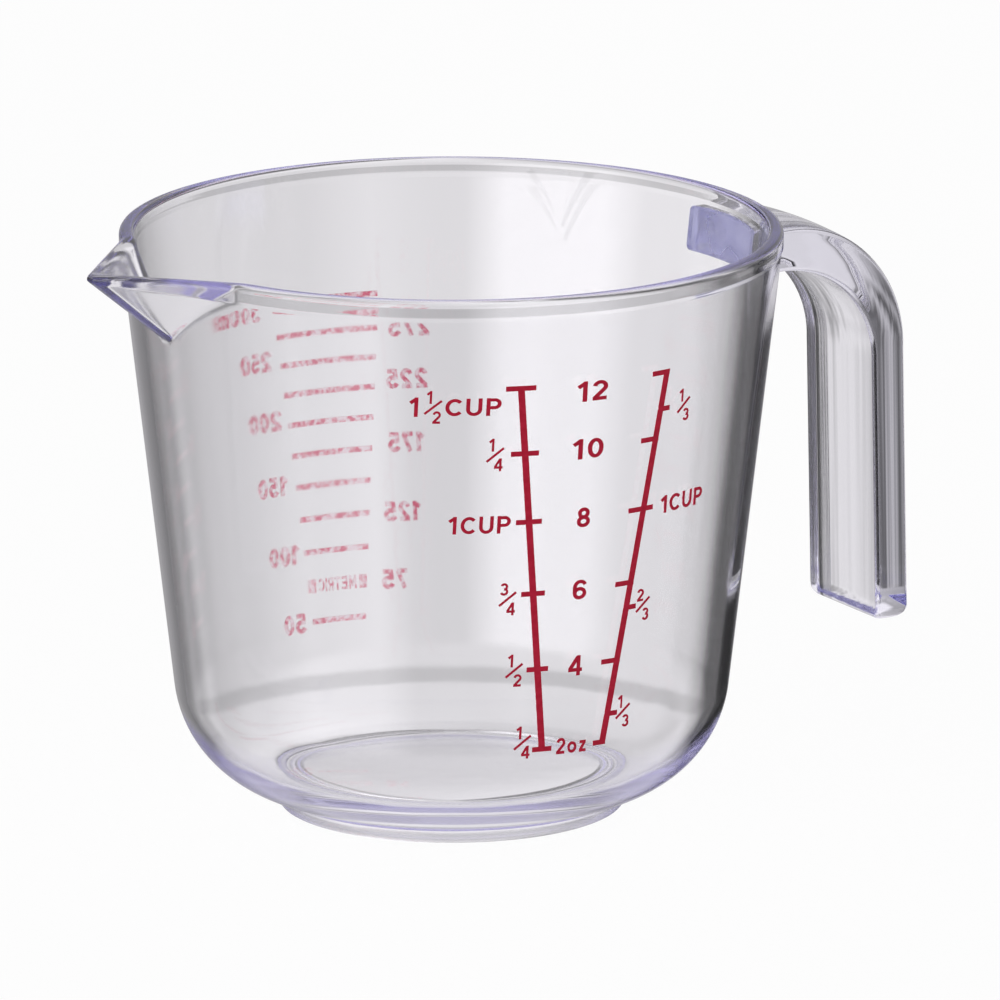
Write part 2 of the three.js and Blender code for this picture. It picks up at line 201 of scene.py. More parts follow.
# The spout's flat sides as planes, seen with the spout pointing along +X
def plane(a, b, c):
    normal = (b - a).cross(c - a)
    return normal, normal.dot(a)


def plane_reach(flat, turn, z):
    """How far a plane lies from the bowl's axis at a turn from the spout and a height."""
    normal, offset = flat
    facing = normal.x * math.cos(turn) + normal.y * math.sin(turn)
    return (offset - normal.z * z) / facing


def smooth_max(a, b, blend):
    overlap = max(blend - abs(a - b), 0) / blend
    return max(a, b) + overlap * overlap * blend / 4


def smooth_min(a, b, blend):
    return -smooth_max(-a, -b, blend)


tip_z = HEIGHT - SPOUT_TIP_DROP
keel_half = SPOUT_KEEL_WIDTH / 2
valley_half = SPOUT_VALLEY_WIDTH / 2
keel_top = Vector((SPOUT_REACH, keel_half, tip_z - SPOUT_TIP_HEIGHT))
keel_foot = Vector((wall_radius(spout_foot), keel_half, spout_foot))
lip = Vector((math.cos(SPOUT_HALF_ANGLE), math.sin(SPOUT_HALF_ANGLE), 0)) * RIM_RADIUS
lip_top = lip + Vector((0, 0, HEIGHT))
lip_foot = lip + Vector((0, 0, band_foot))
side_plane = plane(keel_top, keel_foot, lip_foot)
lip_plane = plane(keel_top, lip_foot, lip_top)
keel_plane = plane(keel_top, keel_foot, keel_foot + Vector((0, 1, 0)))

keel_line = keel_top - keel_foot
keel_rise = SPOUT_WALL * keel_line.length / keel_line.x
lip_run = SPOUT_REACH - lip.x
set_back = SPOUT_WALL * math.hypot(lip_run, lip.y) / lip.y
valley_top = Vector((SPOUT_REACH - set_back, valley_half, tip_z))
valley_foot = Vector((wall_radius(spout_foot), valley_half, spout_foot + keel_rise))
channel_plane = plane(valley_top, valley_foot, lip_top - Vector((set_back, 0, 0)))
valley_plane = plane(valley_top, valley_foot, valley_foot + Vector((0, 1, 0)))


def spout_outside(turn, z):
    front = SPOUT_REACH / math.cos(turn)
    sides = min(plane_reach(side_plane, turn, z), plane_reach(lip_plane, turn, z))
    keel = plane_reach(keel_plane, turn, z)
    return min(front, smooth_min(sides, keel, CREASE_BLEND))


def spout_inside(turn, z):
    sides = plane_reach(channel_plane, turn, z)
    return smooth_min(sides, plane_reach(valley_plane, turn, z), VALLEY_BLEND)


def lip_drop(turn):
    """How far the rim has come down, on its way along the lip to the tip."""
    along = plane_reach(lip_plane, turn, HEIGHT) - RIM_RADIUS
    return SPOUT_TIP_DROP * min(1, max(0, along / (SPOUT_REACH - RIM_RADIUS)))


def bowl_column(turn):
    """The profile of (distance from the axis, height) at a turn from the spout."""
    spread = abs(turn)
    if spread > SPOUT_SPREAD:
        return [*outside, *inside]
    drop = lip_drop(spread)
    column = []
    for point, reach, side, wall in (
        *((p, spout_outside, 1, RIM_RADIUS) for p in outside),
        *((p, spout_inside, -1, inner_radius(p.y)) for p in inside),
    ):
        edge = side * (wall - point.x) if point.y > HEIGHT - RIM_EDGE else 0
        z = point.y - drop * max(0, (point.y - band_foot) / RIM_BAND_HEIGHT)
        if point.y > fine_from:
            pushed = smooth_max(point.x + side * edge, reach(spread, z), CREASE_BLEND)
            column.append(Vector((pushed - side * edge, z)))
        else:
            column.append(point)
    return column


# Turns from the spout in degrees: close together at its keel and sides, wider and wider round the bowl
half_turns = [0.0]
turn_step = KEEL_STEP
while half_turns[-1] < 180:
    half_turns.append(half_turns[-1] + turn_step)
    reached = half_turns[-1]
    widest = KEEL_STEP if reached < KEEL_TURN else SPOUT_STEP if reached < SIDES_TURN else BOWL_STEP
    turn_step = min(turn_step * STEP_GROWTH, widest)
half_turns = [t * 180 / half_turns[-1] for t in half_turns]
turns = [math.radians(t) for t in [*[-t for t in half_turns[-2:0:-1]], *half_turns]]


def mesh_piece(name, points, faces, material):
    """A smooth piece from points in millimetres about the bowl's axis, riding on the jug."""
    mesh = bpy.data.meshes.new(name)
    mesh.from_pydata([(AXIS_X + x * MM, y * MM, z * MM) for x, y, z in points], [], faces)
    shell = bmesh.new()
    shell.from_mesh(mesh)
    bmesh.ops.recalc_face_normals(shell, faces=shell.faces)
    shell.to_mesh(mesh)
    shell.free()
    mesh.shade_smooth()
    mesh.materials.append(material)
    piece = bpy.data.objects.new(name, mesh)
    scene.collection.objects.link(piece)
    piece.modifiers.new("flat_faces_stay_flat", "WEIGHTED_NORMAL")
    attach(piece, "root")
    return piece


PLASTIC_IOR = 1.57
PLASTIC_TINT = (0.22, 0.16, 0.70, 1)
PLASTIC_ABSORPTION = 6.0            # per metre, so the thin wall is clear and long ways through are violet
PLASTIC_HAZE = (0.015, 0.045)       # least and most roughness
HAZE_CONTRAST = (0.3, 0.7)
PLASTIC_HAZE_GRAIN = 90


def plastic_material(name):
    """Clear polished plastic with patches of faint haze. Returns the material and its shader."""
    material = bpy.data.materials.new(name)
    material.use_nodes = True
    nodes, links = material.node_tree.nodes, material.node_tree.links
    shader = nodes["Principled BSDF"]
    shader.inputs["Base Color"].default_value = (1, 1, 1, 1)
    shader.inputs["IOR"].default_value = PLASTIC_IOR
    shader.inputs["Transmission Weight"].default_value = 1.0
    volume = nodes.new("ShaderNodeVolumeAbsorption")
    volume.inputs["Color"].default_value = PLASTIC_TINT
    volume.inputs["Density"].default_value = PLASTIC_ABSORPTION
    links.new(volume.outputs["Volume"], nodes["Material Output"].inputs["Volume"])
    place = nodes.new("ShaderNodeTexCoord")
    patches = nodes.new("ShaderNodeTexNoise")
    patches.inputs["Scale"].default_value = PLASTIC_HAZE_GRAIN
    links.new(place.outputs["Object"], patches.inputs["Vector"])
    haze = nodes.new("ShaderNodeMapRange")
    haze.inputs["From Min"].default_value, haze.inputs["From Max"].default_value = HAZE_CONTRAST
    haze.inputs["To Min"].default_value, haze.inputs["To Max"].default_value = PLASTIC_HAZE
    links.new(patches.outputs["Fac"], haze.inputs["Value"])
    links.new(haze.outputs["Result"], shader.inputs["Roughness"])
    return material, shader


def add_waves(material, coordinates, stretch, depth):
    """Faint waves left by the flow of the plastic, by how often they come along each coordinate."""
    nodes, links = material.node_tree.nodes, material.node_tree.links
    stretched = nodes.new("ShaderNodeVectorMath")
    stretched.operation = "MULTIPLY"
    stretched.inputs[1].default_value = stretch
    links.new(coordinates, stretched.inputs[0])
    waves = nodes.new("ShaderNodeTexNoise")
    waves.inputs["Scale"].default_value = 1.0
    waves.inputs["Detail"].default_value = 1.0
    links.new(stretched.outputs["Vector"], waves.inputs["Vector"])
    relief = nodes.new("ShaderNodeBump")
    relief.inputs["Distance"].default_value = depth
    links.new(waves.outputs["Fac"], relief.inputs["Height"])
    links.new(relief.outputs["Normal"], nodes["Principled BSDF"].inputs["Normal"])


VESSEL_WAVES = (110, 110, 16)       # waves per metre: upright, as the wall was filled
VESSEL_WAVE_DEPTH = 0.00003
clear_plastic, vessel_shader = plastic_material("clear_plastic")
vessel_place = clear_plastic.node_tree.nodes["Texture Coordinate"].outputs["Object"]
add_waves(clear_plastic, vessel_place, VESSEL_WAVES, VESSEL_WAVE_DEPTH)

# The underside is satin, from a mould that was left unpolished there, and the spout is a little dull
SATIN_TOP = (0.0026, 0.0016)        # heights between which the polish ends, in metres
SATIN_ROUGHNESS = 0.22
SPOUT_DULL = (-0.050, -0.054)       # from the bowl to the spout
SPOUT_ROUGHNESS = 0.13
vessel_nodes, vessel_links = clear_plastic.node_tree.nodes, clear_plastic.node_tree.links
vessel_spot = vessel_nodes.new("ShaderNodeSeparateXYZ")
vessel_links.new(vessel_place, vessel_spot.inputs["Vector"])
vessel_finish = vessel_nodes["Map Range"].outputs["Result"]
for axis, ends, roughness in (("Z", SATIN_TOP, SATIN_ROUGHNESS), ("X", SPOUT_DULL, SPOUT_ROUGHNESS)):
    dull = vessel_nodes.new("ShaderNodeMapRange")
    dull.inputs["From Min"].default_value, dull.inputs["From Max"].default_value = ends
    dull.inputs["To Max"].default_value = roughness
    vessel_links.new(vessel_spot.outputs[axis], dull.inputs["Value"])
    rougher = vessel_nodes.new("ShaderNodeMath")
    rougher.operation = "MAXIMUM"
    vessel_links.new(dull.outputs["Result"], rougher.inputs[0])
    vessel_links.new(vessel_finish, rougher.inputs[1])
    vessel_finish = rougher.outputs["Value"]
vessel_links.new(vessel_finish, vessel_shader.inputs["Roughness"])

columns = [bowl_column(turn) for turn in turns]
stations = len(columns[0])
bowl_points = [(0, 0, columns[0][0].y), (0, 0, columns[0][-1].y)]
for turn, column in zip(turns, columns):
    for point in column[1:-1]:
        bowl_points.append((-point.x * math.cos(turn), point.x * math.sin(turn), point.y))
bowl_faces = []
rows = stations - 2
for i in range(len(turns)):
    here = 2 + i * rows
    there = 2 + (i + 1) % len(turns) * rows
    bowl_faces.append((0, here, there))
    bowl_faces += [(here + j, here + j + 1, there + j + 1, there + j) for j in range(rows - 1)]
    bowl_faces.append((here + rows - 1, 1, there + rows - 1))
vessel = mesh_piece("vessel_moulding", bowl_points, bowl_faces, clear_plastic)
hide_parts("vessel")

# Handle: a flat bar of the same clear plastic, bent into a hook that is open at its lower end. Its root
# is shaped to the wall under the rim band and bonded there.
HANDLE_WIDTH = 20.2
HANDLE_TOP = HEIGHT - 3.4
HANDLE_ROOT_THICKNESS = 6.9
HANDLE_REACH = 70.8
HANDLE_GRIP_THICKNESS = 5.6
HANDLE_BEND = 20.0
HANDLE_INNER_BEND = 15.0
HANDLE_END = HEIGHT - 64.8
HANDLE_LEAN = math.radians(1.3)
HANDLE_END_ROUND = 2.0
HANDLE_INNER_END_ROUND = 1.3
HANDLE_EDGE = 0.8
HANDLE_EDGE_SHARE = 0.6             # of half the bar's depth, which an edge never exceeds
HANDLE_ROOT_STRAIGHT = 1.0          # straight piece between the root and the bend
HANDLE_END_RUN = 4                  # rings start this many end rounds above the end
HANDLE_CROWN = 0.4                  # the outer face stands this much proud along its middle
BOND_LINE = 0.03
BEND_STEPS = 28
FACE_STEPS = 8
END_STEPS = 6
CAP_SHRINKS = (0.8, 0.5, 0.2)

outer_bend = Vector((HANDLE_REACH - HANDLE_BEND, HANDLE_TOP - HANDLE_BEND))
inner_bend = Vector((
    HANDLE_REACH - HANDLE_GRIP_THICKNESS - HANDLE_INNER_BEND,
    HANDLE_TOP - HANDLE_ROOT_THICKNESS - HANDLE_INNER_BEND,
))


def grip_line(bend, radius, z):
    """Point of the grip's straight outer or inner line that leaves a bend, at a height."""
    start = bend + radius * Vector((math.cos(HANDLE_LEAN), -math.sin(HANDLE_LEAN)))
    return Vector((start.x + math.tan(HANDLE_LEAN) * (start.y - z), z))


def end_inset(radius, above):
    """How far a rounded end draws in at a height above it."""
    return radius - math.sqrt(radius ** 2 - max(0, radius - above) ** 2)


def bar_section(outer, inner, half_width):
    """A ring of (along, across, height) points round the bar, with rounded edges and a crowned outside."""
    middle = (outer + inner) / 2
    depth = (outer - inner).length / 2
    edge = min(HANDLE_EDGE, depth * HANDLE_EDGE_SHARE)
    turned_edges = []
    for start, deep, wide in ((0, 1, 1), (90, -1, 1), (180, -1, -1), (270, 1, -1)):
        centre = Vector((deep * (depth - edge), wide * (half_width - edge)))
        turned_edges.append(arc(centre, edge, math.radians(start), math.radians(start + 90), ROUND_STEPS))
    ring = []
    for i, turned in enumerate(turned_edges):
        face_end = turned_edges[(i + 1) % 4][0]
        face = [turned[-1].lerp(face_end, j / FACE_STEPS) for j in range(1, FACE_STEPS)]
        for point in (*turned, *face):
            crown = HANDLE_CROWN * (point.y / half_width) ** 2 * max(0, point.x / depth)
            side_view = middle + (outer - middle).normalized() * (point.x - crown)
            ring.append(Vector((side_view.x, point.y, side_view.y)))
    return ring


half_width = HANDLE_WIDTH / 2
sections = [bar_section(
    Vector((outer_bend.x - HANDLE_ROOT_STRAIGHT, HANDLE_TOP)),
    Vector((outer_bend.x - HANDLE_ROOT_STRAIGHT, HANDLE_TOP - HANDLE_ROOT_THICKNESS)),
    half_width,
)]
outer_arc = arc(outer_bend, HANDLE_BEND, math.pi / 2, -HANDLE_LEAN, BEND_STEPS)
inner_arc = arc(inner_bend, HANDLE_INNER_BEND, math.pi / 2, -HANDLE_LEAN, BEND_STEPS)
sections += [bar_section(o, i, half_width) for o, i in zip(outer_arc, inner_arc)]
end_heights = [HANDLE_END_ROUND * (1 - math.sin(math.pi / 2 * i / END_STEPS)) for i in range(END_STEPS + 1)]
for above in [HANDLE_END_ROUND * HANDLE_END_RUN, *end_heights]:
    z = HANDLE_END + above
    draw_in = end_inset(HANDLE_END_ROUND, above)
    outer = grip_line(outer_bend, HANDLE_BEND, z) - Vector((draw_in, 0))
    inner_draw = end_inset(HANDLE_INNER_END_ROUND, above)
    inner = grip_line(inner_bend, HANDLE_INNER_BEND, z) + Vector((inner_draw, 0))
    sections.append(bar_section(outer, inner, half_width - draw_in))


def shrunk(ring, share):
    middle = sum(ring, Vector()) / len(ring)
    return [middle + (point - middle) * share for point in ring]


def on_wall(point):
    """A point of the root moved along the handle to the bowl's wall."""
    radius = wall_radius(point.z) + BOND_LINE
    return Vector((math.sqrt(radius ** 2 - point.y ** 2), point.y, point.z))


root_loops = [[on_wall(p) for p in shrunk(sections[0], s)] for s in (*reversed(CAP_SHRINKS), 1)]
end_loops = [shrunk(sections[-1], s) for s in CAP_SHRINKS]
rings = [*root_loops, *sections, *end_loops]
root_middle = on_wall(sum(sections[0], Vector()) / len(sections[0]))
end_middle = sum(rings[-1], Vector()) / len(rings[-1])
bar_points = [root_middle, end_middle, *[p for ring in rings for p in ring]]
around = len(rings[0])
bar_faces = []
for i in range(around):
    j = (i + 1) % around
    last = 2 + (len(rings) - 1) * around
    bar_faces.append((0, 2 + i, 2 + j))
    bar_faces.append((last + i, 1, last + j))
    for k in range(len(rings) - 1):
        row = 2 + k * around
        bar_faces.append((row + i, row + around + i, row + around + j, row + j))

HANDLE_WAVES = (420, 12, 0)         # waves per metre: across the bar and along it
HANDLE_WAVE_DEPTH = 0.00004
BOND_COLOUR = (0.72, 0.80, 1.00, 1)
BOND_ROUGHNESS = (0.15, 0.35)
BOND_WAVES = (500, 500, 500)
BOND_WAVE_DEPTH = 0.00012
handle_plastic, _ = plastic_material("handle_plastic")
bar_place = handle_plastic.node_tree.nodes.new("ShaderNodeAttribute")
bar_place.attribute_name = "place_on_bar"
add_waves(handle_plastic, bar_place.outputs["Vector"], HANDLE_WAVES, HANDLE_WAVE_DEPTH)
bond_face, bond_shader = plastic_material("bond_face")
bond_shader.inputs["Base Color"].default_value = BOND_COLOUR
bond_haze = bond_face.node_tree.nodes["Map Range"]
bond_haze.inputs["To Min"].default_value, bond_haze.inputs["To Max"].default_value = BOND_ROUGHNESS
bond_place = bond_face.node_tree.nodes["Texture Coordinate"].outputs["Object"]
add_waves(bond_face, bond_place, BOND_WAVES, BOND_WAVE_DEPTH)

handle = mesh_piece("handle_bar", bar_points, bar_faces, handle_plastic)
handle.data.materials.append(bond_face)
root_end = 2 + len(root_loops) * around
for face, corners in zip(handle.data.polygons, bar_faces):
    if max(corners) < root_end and 1 not in corners:
        face.material_index = 1
place_on_bar = handle.data.attributes.new("place_on_bar", "FLOAT_VECTOR", "POINT")
along = 0
for k, ring in enumerate(rings):
    along += (ring[0] - rings[max(0, k - 1)][0]).length
    for i in range(around):
        round_bar = sum((ring[j + 1] - ring[j]).length for j in range(i))
        place_on_bar.data[2 + k * around + i].vector = (round_bar * MM, along * MM, 0)
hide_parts("handle")

# Cup and ounce scales: two slanting lines with ticks, screen printed on the front of the wall in opaque
# crimson ink. Seen from behind, through the wall, the ink is uneven, and it is painted paler, nearly white
# where it is thin: painted light, for the light from behind that shows through the thin ink.
INK = (0.40, 0.004, 0.026, 1)
INK_THIN = (0.46, 0.009, 0.036, 1)
# The ink's colours from behind hold painted light: paler, and nearly white where thin, for light showing
# through the ink
INK_BEHIND_PAINTED_LIGHT = (0.80, 0.12, 0.22, 1)
INK_BEHIND_THIN_PAINTED_LIGHT = (1.00, 0.85, 0.88, 1)
INK_ROUGHNESS = (0.5, 0.7)
INK_SPECULAR = 0.2
INK_GRAIN = 1200
INK_CONTRAST = (0.4, 0.6)
INK_RELIEF = 0.00001
red_ink = bpy.data.materials.new("red_ink")
red_ink.use_nodes = True
ink = red_ink.node_tree.nodes
ink_links = red_ink.node_tree.links
ink_place = ink.new("ShaderNodeTexCoord")
ink_grain = ink.new("ShaderNodeTexNoise")
ink_grain.inputs["Scale"].default_value = INK_GRAIN
ink_links.new(ink_place.outputs["Object"], ink_grain.inputs["Vector"])
ink_contrast = ink.new("ShaderNodeMapRange")
ink_contrast.inputs["From Min"].default_value, ink_contrast.inputs["From Max"].default_value = INK_CONTRAST
ink_links.new(ink_grain.outputs["Fac"], ink_contrast.inputs["Value"])


def ink_mix(first, second):
    mix = ink.new("ShaderNodeMix")
    mix.data_type = "RGBA"
    mix.inputs["A"].default_value = first
    mix.inputs["B"].default_value = second
    ink_links.new(ink_contrast.outputs["Result"], mix.inputs["Factor"])
    return mix


ink_front = ink_mix(INK, INK_THIN)
# The back face's colours, with painted light in them
ink_back_painted_light = ink_mix(INK_BEHIND_PAINTED_LIGHT, INK_BEHIND_THIN_PAINTED_LIGHT)
ink_surface = ink.new("ShaderNodeNewGeometry")
ink_axis = ink.new("ShaderNodeVectorMath")
ink_axis.operation = "SUBTRACT"
ink_axis.inputs[1].default_value = (AXIS_X, 0, 0)
ink_links.new(ink_place.outputs["Object"], ink_axis.inputs[0])
ink_outward = ink.new("ShaderNodeVectorMath")
ink_outward.operation = "DOT_PRODUCT"
ink_links.new(ink_axis.outputs["Vector"], ink_outward.inputs[0])
ink_links.new(ink_surface.outputs["Normal"], ink_outward.inputs[1])
# Faces turned towards the axis are the ink's back, which gets the colours with painted light
ink_inside_gets_painted_light = ink.new("ShaderNodeMath")
ink_inside_gets_painted_light.operation = "LESS_THAN"
ink_inside_gets_painted_light.inputs[1].default_value = 0.0
ink_links.new(ink_outward.outputs["Value"], ink_inside_gets_painted_light.inputs[0])
ink_colour = ink.new("ShaderNodeMix")
ink_colour.data_type = "RGBA"
ink_links.new(ink_inside_gets_painted_light.outputs["Value"], ink_colour.inputs["Factor"])
ink_links.new(ink_front.outputs["Result"], ink_colour.inputs["A"])
ink_links.new(ink_back_painted_light.outputs["Result"], ink_colour.inputs["B"])
ink_shader = ink["Principled BSDF"]
ink_finish = ink.new("ShaderNodeMapRange")
ink_finish.inputs["To Min"].default_value, ink_finish.inputs["To Max"].default_value = INK_ROUGHNESS
ink_links.new(ink_grain.outputs["Fac"], ink_finish.inputs["Value"])
ink_links.new(ink_finish.outputs["Result"], ink_shader.inputs["Roughness"])
ink_relief = ink.new("ShaderNodeBump")
ink_relief.inputs["Distance"].default_value = INK_RELIEF
ink_links.new(ink_grain.outputs["Fac"], ink_relief.inputs["Height"])
ink_links.new(ink_relief.outputs["Normal"], ink_shader.inputs["Normal"])
ink_shader.inputs["Specular IOR Level"].default_value = INK_SPECULAR
ink_links.new(ink_colour.outputs["Result"], ink_shader.inputs["Base Color"])


def print_node(name):
    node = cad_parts[name]
    node.data.materials.clear()
    node.data.materials.append(red_ink)


print_node("cup_scale")
print_node("ounce_scale")

# Ounce numbers: plain sans figures printed between the two scale lines, one beside each ounce tick. Each
# letter is a set of strokes of one width, flattened into one shape and wrapped onto the wall.
PRINT_AZIMUTH = math.radians(-94)
PRINT_GAP = 0.1
PRINT_THICKNESS = 0.1
STROKE = 0.175                      # width of a letter's strokes, as a share of its height
LETTER_GAP = 0.15
BOW_STEP = math.radians(15)


def bow(x, y, across, up, start, end):
    steps = max(2, round(abs(math.radians(end - start)) / BOW_STEP))
    angles = [math.radians(start + (end - start) * i / steps) for i in range(steps + 1)]
    return [(x + across * math.cos(a), y + up * math.sin(a)) for a in angles]


def loop(x, y, across, up):
    return bow(x, y, across, up, 0, 360)


# Width and strokes of each letter, for a height of 1
STEM = [(0.1, 0), (0.1, 1)]
P_BOWL = [(0.05, 0.9), *bow(0.38, 0.68, 0.2, 0.22, 90, -90), (0.05, 0.46)]
LETTERS = {
    "0": (0.66, [loop(0.33, 0.5, 0.23, 0.4)]),
    "1": (0.42, [[(0.3, 0), (0.3, 1)], [(0.03, 0.71), (0.3, 0.92)]]),
    "2": (0.64, [[*bow(0.33, 0.68, 0.22, 0.22, 170, -30), (0.12, 0.13)], [(0.03, 0.1), (0.6, 0.1)]]),
    "3": (0.64, [bow(0.31, 0.7, 0.2, 0.2, 160, -90), bow(0.31, 0.31, 0.23, 0.21, 90, -160)]),
    "4": (0.66, [[(0.46, 0), (0.46, 1)], [(0, 0.29), (0.64, 0.29)], [(0.42, 0.93), (0.07, 0.33)]]),
    "5": (0.64, [
        [(0.58, 0.9), (0.15, 0.9)],
        [(0.17, 0.98), (0.12, 0.46)],
        bow(0.3, 0.33, 0.24, 0.23, 130, -160),
    ]),
    "6": (0.66, [loop(0.33, 0.32, 0.23, 0.22), [*bow(0.35, 0.62, 0.25, 0.28, 25, 180), (0.1, 0.32)]]),
    "7": (0.62, [[(0.03, 0.9), (0.6, 0.9)], [(0.54, 0.92), (0.2, 0)]]),
    "8": (0.66, [loop(0.33, 0.71, 0.19, 0.19), loop(0.33, 0.3, 0.22, 0.2)]),
    "C": (0.74, [bow(0.42, 0.5, 0.32, 0.4, 42, 318)]),
    "U": (0.72, [[(0.1, 1), *bow(0.36, 0.38, 0.26, 0.28, 180, 360), (0.62, 1)]]),
    "P": (0.66, [STEM, P_BOWL]),
    "o": (0.68, [loop(0.34, 0.36, 0.24, 0.26)]),
    "z": (0.54, [[(0.04, 0.62), (0.5, 0.62)], [(0.44, 0.62), (0.1, 0.1)], [(0.02, 0.1), (0.52, 0.1)]]),
    "m": (0.88, [
        [(0.1, 0), (0.1, 0.72)],
        [*bow(0.27, 0.45, 0.17, 0.17, 180, 0), (0.44, 0)],
        [*bow(0.61, 0.45, 0.17, 0.17, 180, 0), (0.78, 0)],
    ]),
    "l": (0.2, [STEM]),
    "M": (0.8, [STEM, [(0.7, 0), (0.7, 1)], [(0.13, 0.96), (0.4, 0.2)], [(0.67, 0.96), (0.4, 0.2)]]),
    "E": (0.62, [STEM, [(0.1, 0.9), (0.6, 0.9)], [(0.1, 0.5), (0.56, 0.5)], [(0.1, 0.1), (0.62, 0.1)]]),
    "T": (0.62, [[(0, 0.9), (0.62, 0.9)], [(0.31, 0), (0.31, 0.95)]]),
    "R": (0.68, [STEM, P_BOWL, [(0.36, 0.46), (0.58, 0)]]),
    "I": (0.2, [STEM]),
}


def stroke_quads(path, width):
    """The path drawn with a pen of that width, as flat quads."""
    points = [Vector(p) for p in path]
    closed = (points[0] - points[-1]).length < 1e-6
    sides = []
    for i, point in enumerate(points):
        before = points[i - 1] if i else points[-2] if closed else point
        after = points[i + 1] if i + 1 < len(points) else points[1] if closed else point
        heading = (after - before).normalized()
        across = Vector((-heading.y, heading.x)) * width / 2
        sides.append((point + across, point - across))
    return [(a[0], a[1], b[1], b[0]) for a, b in zip(sides, sides[1:])]


def text_quads(text, height, stretch, stroke=STROKE):
    """Quads of a line of text about its middle, in millimetres. Stretched letters are also bolder."""
    quads, x = [], 0
    for letter in text:
        width, strokes = LETTERS[letter]
        for path in strokes:
            for quad in stroke_quads(path, stroke):
                quads.append([Vector(((x + p.x) * height * stretch, (p.y - 0.5) * height)) for p in quad])
        x += width + LETTER_GAP
    middle = Vector(((x - LETTER_GAP) * height * stretch / 2, 0))
    return [[p - middle for p in quad] for quad in quads]


def moved(quads, x, y):
    return [[p + Vector((x, y)) for p in quad] for quad in quads]


def printed(name, quads, x, z, azimuth):
    """One shape of ink from overlapping quads, wrapped onto the wall with its middle at x, z."""
    corners = [p + Vector((x, z)) for quad in quads for p in quad]
    inputs = [tuple(range(i, i + 4)) for i in range(0, len(corners), 4)]
    flat, _, faces, _, _, sources = delaunay_2d_cdt(corners, [], inputs, 0, 1e-4)
    inked = [face for face, source in zip(faces, sources) if source]
    points = []
    for depth in (PRINT_GAP, PRINT_GAP + PRINT_THICKNESS):
        for p in flat:
            turn = azimuth + p.x / wall_radius(p.y)
            radius = wall_radius(p.y) + depth
            points.append((radius * math.cos(turn), radius * math.sin(turn), p.y))
    count = len(flat)
    edges = {(a, b) for face in inked for a, b in zip(face, face[1:] + face[:1])}
    solid = [tuple(reversed(face)) for face in inked]
    solid += [tuple(i + count for i in face) for face in inked]
    solid += [(a, b, b + count, a + count) for a, b in edges if (b, a) not in edges]
    mesh = bpy.data.meshes.new(name)
    mesh.from_pydata([(AXIS_X + x * MM, y * MM, z * MM) for x, y, z in points], [], solid)
    film = bmesh.new()
    film.from_mesh(mesh)
    bmesh.ops.delete(film, geom=[v for v in film.verts if not v.link_faces], context="VERTS")
    bmesh.ops.recalc_face_normals(film, faces=film.faces)
    film.to_mesh(mesh)
    film.free()
    mesh.materials.append(red_ink)
    piece = bpy.data.objects.new(name, mesh)
    scene.collection.objects.link(piece)
    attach(piece, "root")


FLUID_OUNCE = 29.5735
FILL_STEP = 0.05
OUNCE_PRINT_DROP = 1.2              # the front print sits low and is stretched, as the scale lines are
OUNCE_PRINT_STRETCH = 1.02
NUMBER_HEIGHT = 3.05
UNIT_HEIGHT = 2.5


def liquid_radius(z):
    below = inner_centre.y - z
    if below <= INNER_CORNER * math.sin(INNER_TAPER):
        return inner_radius(z)
    return inner_centre.x + math.sqrt(max(0, INNER_CORNER ** 2 - below ** 2))


def fill_height(millilitres):
    """Height above the table at which the bowl holds a volume."""
    z, held = floor_top, 0
    while held < millilitres * 1000:
        held += math.pi * liquid_radius(z + FILL_STEP / 2) ** 2 * FILL_STEP
        z += FILL_STEP
    return z


def ounce_height(ounces):
    top = fill_height(12 * FLUID_OUNCE)
    return top - OUNCE_PRINT_DROP - OUNCE_PRINT_STRETCH * (top - fill_height(ounces * FLUID_OUNCE))


for text, ounces, x, shift, height, stretch in (
    ("12", 12, 0.4, -1.2, NUMBER_HEIGHT, 1.3),
    ("10", 10, 0.2, 0, NUMBER_HEIGHT, 1.3),
    ("8", 8, 0, 0, NUMBER_HEIGHT, 1.1),
    ("6", 6, 0, 0, NUMBER_HEIGHT, 1.1),
    ("4", 4, 0, 0, NUMBER_HEIGHT, 1.1),
    ("2oz", 2, 0, 0.2, UNIT_HEIGHT, 0.88),
):
    number = text_quads(text, height, stretch)
    printed(f"ounce_number_{ounces}", number, x, ounce_height(ounces) + shift, PRINT_AZIMUTH)

# Cup numbers: quarters of a cup to the left of the cup line, thirds to the right of the ounce line, as
# small fractions with a slanting bar, and the word for the unit at whole marks. Same ink and letters.
FRACTION_HEIGHT = 1.93
FRACTION_RISE = 1.5
FRACTION_SHIFT = 0.55
FRACTION_BAR = (1.2, 1.0)
FRACTION_BAR_WIDTH = 0.34
CUP_HEIGHT = 2.65


def fraction_quads(top, bottom):
    upper = text_quads(top, FRACTION_HEIGHT, 1)
    lower = text_quads(bottom, FRACTION_HEIGHT, 1)
    across, up = FRACTION_BAR
    bar = stroke_quads([(-across, -up), (across, up)], FRACTION_BAR_WIDTH)
    return [
        *moved(upper, -FRACTION_SHIFT, FRACTION_RISE),
        *moved(lower, FRACTION_SHIFT, -FRACTION_RISE),
        *bar,
    ]


for name, top, bottom, ounces, x, shift in (
    ("cup_quarter_1_25", "1", "4", 10, -13.7, 0),
    ("cup_quarter_0_75", "3", "4", 6, -10.8, -0.6),
    ("cup_quarter_0_5", "1", "2", 4, -9.3, 0),
    ("cup_quarter_0_25", "1", "4", 2, -7.5, 1.2),
    ("cup_third_4", "1", "3", 32 / 3, 16.8, 0.9),
    ("cup_third_2", "2", "3", 16 / 3, 11.0, 0),
    ("cup_third_1", "1", "3", 8 / 3, 8.4, 0),
):
    printed(name, fraction_quads(top, bottom), x, ounce_height(ounces) + shift, PRINT_AZIMUTH)

